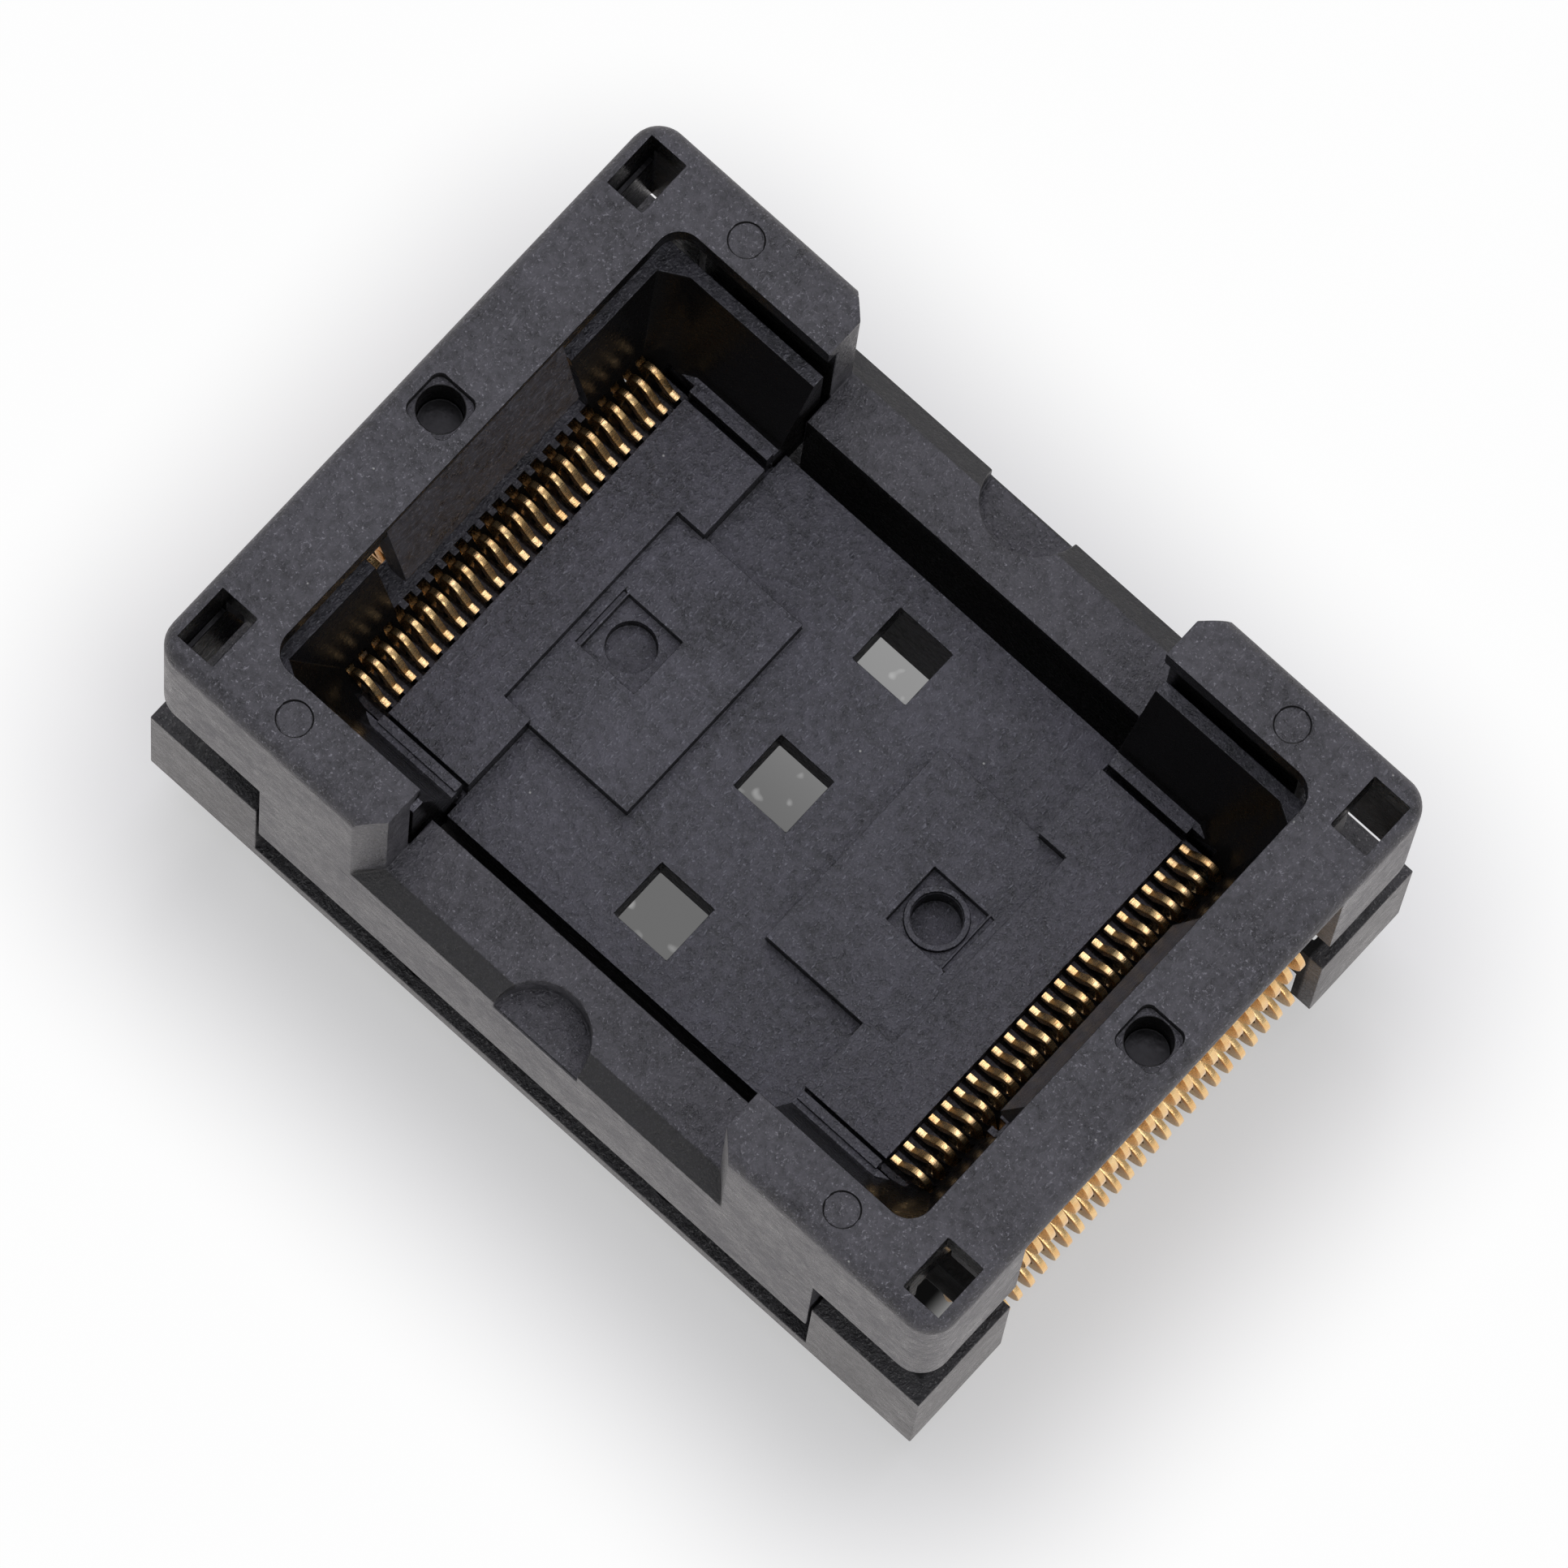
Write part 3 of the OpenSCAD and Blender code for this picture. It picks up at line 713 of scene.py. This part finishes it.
def walkPath(start, heading, steps):
    # Centre line of straight runs and arcs: on an arc the heading grows evenly and the point
    # stays one radius from the arc's centre; returns points, headings and widths
    point, angle = np.array(start, float), math.radians(heading)
    points, headings, widths = [], [], []
    for size, turn, widthA, widthB in steps:
        length = size if turn == 0 else size * math.radians(abs(turn))
        t = np.linspace(0, 1, max(3, int(length / contact["spacing"])) if turn else 3)
        if turn == 0:
            run = point + np.outer(t * size, [math.cos(angle), math.sin(angle)])
            facing = np.full(len(t), angle)
        else:
            side = math.copysign(size, turn)
            centre = point + side * np.array([-math.sin(angle), math.cos(angle)])
            facing = angle + t * math.radians(turn)
            run = centre - side * np.stack([-np.sin(facing), np.cos(facing)], 1)
        first = 1 if points else 0
        points.append(run[first:])
        headings.append(facing[first:])
        widths.append((widthA + (widthB - widthA) * t)[first:])
        point, angle = run[-1], facing[-1]
    return np.concatenate(points), np.concatenate(headings), np.concatenate(widths)


def roundedStart(path):
    # The strip begins with a half circle: the sine of an even angle times the first width
    points, headings, widths = path
    rings = contact["endRings"]
    a = np.linspace(*contact["endSpan"], rings) * math.pi / 2
    back = np.outer(np.cos(a) * widths[0] / 2, [math.cos(headings[0]), math.sin(headings[0])])
    return (
        np.concatenate([points[0] - back, points]),
        np.concatenate([np.full(rings, headings[0]), headings]),
        np.concatenate([np.sin(a) * widths[0], widths]),
    )


def stampedStrip(path, thickness):
    # A rounded rectangle carried along the path: its long side lies in the sheet, across the
    # path, and its short side is the sheet's thickness
    points, headings, widths = path
    edge = contact["edge"]
    corner = np.radians([0, 45, 90])
    across, through = [], []
    for k, (signA, signT) in enumerate(((1, 1), (-1, 1), (-1, -1), (1, -1))):
        a = corner + k * math.pi / 2
        across.append(np.stack([np.full(3, signA), np.cos(a) * edge - signA * edge]))
        through.append(signT * (thickness / 2 - edge) + np.sin(a) * edge)
    across, through = np.concatenate(across, 1), np.concatenate(through)
    offset = widths[:, None] / 2 * across[0][None, :] + across[1][None, :]
    x = points[:, 0, None] - np.sin(headings)[:, None] * offset
    z = points[:, 1, None] + np.cos(headings)[:, None] * offset
    y = np.broadcast_to(through[None, :], x.shape)
    return np.stack([x, y, z], -1).reshape(-1, 3), len(points), x.shape[1]


def contactPoints(outer, side, index):
    # The four parts of one strip in the plane of a row's side view, moved along the row by the
    # pitch times the place from its middle, and mirrored for the left row
    spec = contact
    sheet, barZ, rowX, tailWidth = spec["sheet"], spec["barZ"], spec["rowX"], spec["tailWidth"]
    postX = rowX + spec["postX"]
    rise, armAngle = spec["armRise"][0], math.radians(spec["armRise"][1])
    tipX = rowX + spec["knee"][0] + rise * math.cos(armAngle)
    tip = (tipX, spec["knee"][1] + rise * math.sin(armAngle))
    pointLength, pointWidth = spec["tailPoint"]
    tailSteps = [
        (barZ + spec["tailLength"] - pointLength, 0, tailWidth, tailWidth),
        (pointLength, 0, tailWidth, pointWidth),
    ]
    spring = walkPath((rowX + spec["springX"], barZ), 0, springSteps)
    head = walkPath(tip, spec["armRise"][1] - 90, headSteps)
    post = walkPath((postX, barZ), 90, postSteps)
    tail = walkPath((postX + outer * spec["tailStep"], barZ), -90, tailSteps)
    parts = [
        stampedStrip(spring, sheet - spec["springSlack"]),
        stampedStrip(roundedStart(head), sheet),
        stampedStrip(post, sheet - spec["postSlack"]),
        stampedStrip(tail, sheet - spec["postSlack"]),
    ]
    points, faces, first = [], [], 0
    for grid, stations, around in parts:
        points.append(grid)
        faces += tubeFaces(stations, around, first)
        first += len(grid)
    points = np.concatenate(points)
    points[:, 1] += (index - (spec["count"] + 1) / 2) * spec["pitch"]
    points[:, 2] += boardHeight
    if side < 0:
        points[:, 0] *= -1
    return points * mm, faces


def finishMetal(mesh):
    # Faces outward, and smooth except at edges sharper than the smooth angle
    bm = bmesh.new()
    bm.from_mesh(mesh)
    bmesh.ops.recalc_face_normals(bm, faces=bm.faces)
    bm.to_mesh(mesh)
    bm.free()
    mesh.shade_smooth()
    mesh.set_sharp_from_angle(angle=math.radians(smoothAngle))


for side, row in ((-1, "left"), (1, "right")):
    for index in range(1, contact["count"] + 1):
        name = f"contact_{row}_{index:02d}"
        mesh = meshFrom(name + "Strip", *contactPoints(index % 2, side, index))
        finishMetal(mesh)
        piece = place(name + "_strip", mesh, contactGold)
        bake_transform(piece)
        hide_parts(name)
print("stage: contacts")


coil = {
    "x": 4.6,
    "y": 8.665,
    "low": 0.36,
    "high": 7.3,
    "wire": 0.22,
    "outer": 1.6,
    "turns": 8,
    "flat": 1.0,  # resting turns at each end
    "rest": 0.75,  # the part of a resting turn that doesn't climb
    "perTurn": 26,
    "around": 12,
}


def coilMesh(name, spec, x, y):
    # Wire centre on a circle whose height grows evenly over the open turns and rests at each end
    turns = spec["turns"] + 2 * spec["flat"]
    still = spec["rest"] * spec["flat"]
    t = np.linspace(0, turns, int(turns * spec["perTurn"]) + 1)
    radius = (spec["outer"] - spec["wire"]) / 2
    climb = np.clip((t - still) / (turns - 2 * still), 0, 1)
    low, high = spec["low"] + spec["wire"] / 2, spec["high"] - spec["wire"] / 2
    z = low + (high - low) * climb
    angle = 2 * math.pi * t
    centre = np.stack([x + radius * np.cos(angle), y + radius * np.sin(angle), z + boardHeight], 1)
    outward = np.stack([np.cos(angle), np.sin(angle), 0 * angle], 1)
    along = np.gradient(centre, axis=0)
    along /= np.linalg.norm(along, axis=1)[:, None]
    upward = np.cross(outward, along)
    a = np.linspace(0, 2 * math.pi, spec["around"], endpoint=False)[None, :, None]
    ring = np.cos(a) * outward[:, None, :] + np.sin(a) * upward[:, None, :]
    points = centre[:, None, :] + ring * spec["wire"] / 2
    mesh = meshFrom(name, points.reshape(-1, 3) * mm, tubeFaces(len(t), spec["around"]))
    finishMetal(mesh)
    return mesh


for index in range(1, 5):
    x = coil["x"] * (-1 if index % 2 else 1)
    y = coil["y"] * (-1 if index < 3 else 1)
    mesh = coilMesh(f"coil{index}", coil, x, y)
    piece = place(f"cover_spring_{index}_coil", mesh, springSteel)
    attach(piece, "base")
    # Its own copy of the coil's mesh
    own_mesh(piece)
    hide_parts(f"cover_spring_{index}")
print("stage: springs")


# Ranges of the floor: from and to in distance, then the values there
studio = {
    "floorSize": 900,
    "floorTone": (0.8, 0.795, 0.785, 1),
    "mirrorTone": (1.0, 0.965, 0.96, 1),
    "footprint": (13.9, 9.92, 3.0),  # half length, half width and corner radius
    # Painted shadow under the part and softly around it
    "under": (-0.6, -2.6, 0.0, 1.0),
    "rimShadow": (0.0, 8.0, 0.4, 0.97),
    "mirrorShare": (-0.5, 0.8, 0.03, 0.87),
    # Painted light below the windows, with soft pale spots
    "leakLight": (0.0, 7.0, 0.142, 0.285),
    "leakLightX": (4.0, 2.3, 0.0, 1.0),
    "leakLightY": (9.2, 7.8, 0.0, 1.0),
    "leakSpots": (1.6, 1, 0.4),
    "leakSpotRange": (0.66, 0.74, 0.0, 0.16),
    "least": 0.004,
    "worldTone": (0.94, 0.96, 1.0, 1),
    "worldStrength": 0.38,
    "lamps": [
        {
            "name": "topBox",
            "place": (-60, 95, 450),
            "size": 330,
            "power": 0.6,
            "tone": (0.96, 0.93, 1.07),
        },
        {
            "name": "backLamp",
            "place": (-240, 300, 330),
            "size": 110,
            "power": 0.24,
            "tone": (1, 1, 1),
        },
        {
            "name": "frontFill",
            "place": (330, -120, 230),
            "size": 220,
            "power": 0.3,
            "tone": (1, 0.99, 1.02),
        },
    ],
}


def footprintDistance(tree, offX, offY, spec):
    # Distance from a rectangle with round corners, negative inside: the length of what lies
    # beyond the inner rectangle of the corners' centres, less the corner radius
    halfX, halfY, corner = spec["footprint"]
    overX = larger(tree, minus(tree, offX, halfX - corner), 0.0)
    overY = larger(tree, minus(tree, offY, halfY - corner), 0.0)
    squares = plus(tree, times(tree, overX, overX), times(tree, overY, overY))
    return minus(tree, combine(tree, "SQRT", squares), corner)


def floorMaterial(spec):
    # Camera and mirror rays meet a white floor that darkens softly towards the part, a painted
    # shadow over the traced shadow of its diffuse share; under the part the camera sees a painted
    # near-black shadow, and painted grey light with soft pale spots below the windows
    material, tree = newMaterial("studioFloor")
    plain = coordsInMm(tree)
    x, y, _ = splitCoords(tree, plain)
    offX, offY = combine(tree, "ABSOLUTE", x), combine(tree, "ABSOLUTE", y)
    far = footprintDistance(tree, offX, offY, spec)
    # Painted shadow under and around the part, painted light with pale spots below the windows
    below = remap(tree, far, *spec["under"], "SMOOTHSTEP")
    rimShadow = remap(tree, far, *spec["rimShadow"], "SMOOTHSTEP")
    leakSpots = remap(tree, noise(tree, plain, *spec["leakSpots"]), *spec["leakSpotRange"])
    leakLight = plus(tree, remap(tree, y, *spec["leakLight"], "SMOOTHSTEP"), leakSpots)
    leakLight = times(tree, leakLight, remap(tree, offX, *spec["leakLightX"], "SMOOTHSTEP"))
    leakLight = times(tree, leakLight, remap(tree, offY, *spec["leakLightY"], "SMOOTHSTEP"))
    strength = larger(tree, minus(tree, 1.0, below), plus(tree, leakLight, spec["least"]))
    path = addNode(tree, "ShaderNodeLightPath").outputs
    share = larger(
        tree,
        times(tree, path["Is Camera Ray"], larger(tree, rimShadow, below)),
        times(tree, path["Is Glossy Ray"], remap(tree, far, *spec["mirrorShare"])),
    )
    diffuse = addNode(tree, "ShaderNodeBsdfDiffuse", {"Color": spec["floorTone"]})
    glowTone = mixColor(tree, path["Is Camera Ray"], spec["mirrorTone"], (1, 1, 1, 1))
    glow = addNode(tree, "ShaderNodeEmission", {"Color": glowTone, "Strength": strength})
    inputs = {0: share, 1: diffuse.outputs[0], 2: glow.outputs[0]}
    mixed = addNode(tree, "ShaderNodeMixShader", inputs)
    addNode(tree, "ShaderNodeOutputMaterial", {"Surface": mixed.outputs[0]})
    return material


def makeStudio(spec):
    # A square floor, an even pale sky and round lamps that face the origin
    half = spec["floorSize"] / 2
    corners = np.array([[-1, -1, 0], [1, -1, 0], [1, 1, 0], [-1, 1, 0]]) * half * mm
    mesh = meshFrom("studioFloor", corners, [[0, 1, 2, 3]])
    floor = place("studioFloor", mesh, floorMaterial(spec))
    world = bpy.data.worlds.new("studioWorld")
    bpy.context.scene.world = world
    world.use_nodes = True
    sky = world.node_tree.nodes["Background"]
    sky.inputs[0].default_value = spec["worldTone"]
    sky.inputs[1].default_value = spec["worldStrength"]
    for lamp in spec["lamps"]:
        data = bpy.data.lights.new(lamp["name"], "AREA")
        data.shape = "DISK"
        data.size = lamp["size"] * mm
        data.energy = lamp["power"]
        data.color = lamp["tone"]
        light = bpy.data.objects.new(lamp["name"], data)
        bpy.context.scene.collection.objects.link(light)
        light.location = Vector(lamp["place"]) * mm
        light.rotation_mode = "QUATERNION"
        light.rotation_quaternion = (-light.location).to_track_quat("-Z", "Y")


view = {
    "place": (53.109, -81.858, 432.748),
    "right": (0.74049, 0.67106, 0.03688),
    "up": (-0.66086, 0.71706, 0.22155),
    "back": (0.12223, -0.18843, 0.97445),
    "lens": 372.67,
    "sensor": 36,
    "clip": (0.01, 5),  # metres
}


def makeCamera(spec):
    # The photo's camera: its place and its three axes, solved from points of the photo
    data = bpy.data.cameras.new("viewCamera")
    data.lens = spec["lens"]
    data.sensor_width = spec["sensor"]
    data.clip_start, data.clip_end = spec["clip"]
    camera = bpy.data.objects.new("viewCamera", data)
    bpy.context.scene.collection.objects.link(camera)
    turn = Matrix((spec["right"], spec["up"], spec["back"])).transposed().to_4x4()
    camera.matrix_world = Matrix.Translation(Vector(spec["place"]) * mm) @ turn
    bpy.context.scene.camera = camera


makeStudio(studio)
makeCamera(view)
bpy.context.scene.view_settings.view_transform = "Standard"
print("stage: studio")
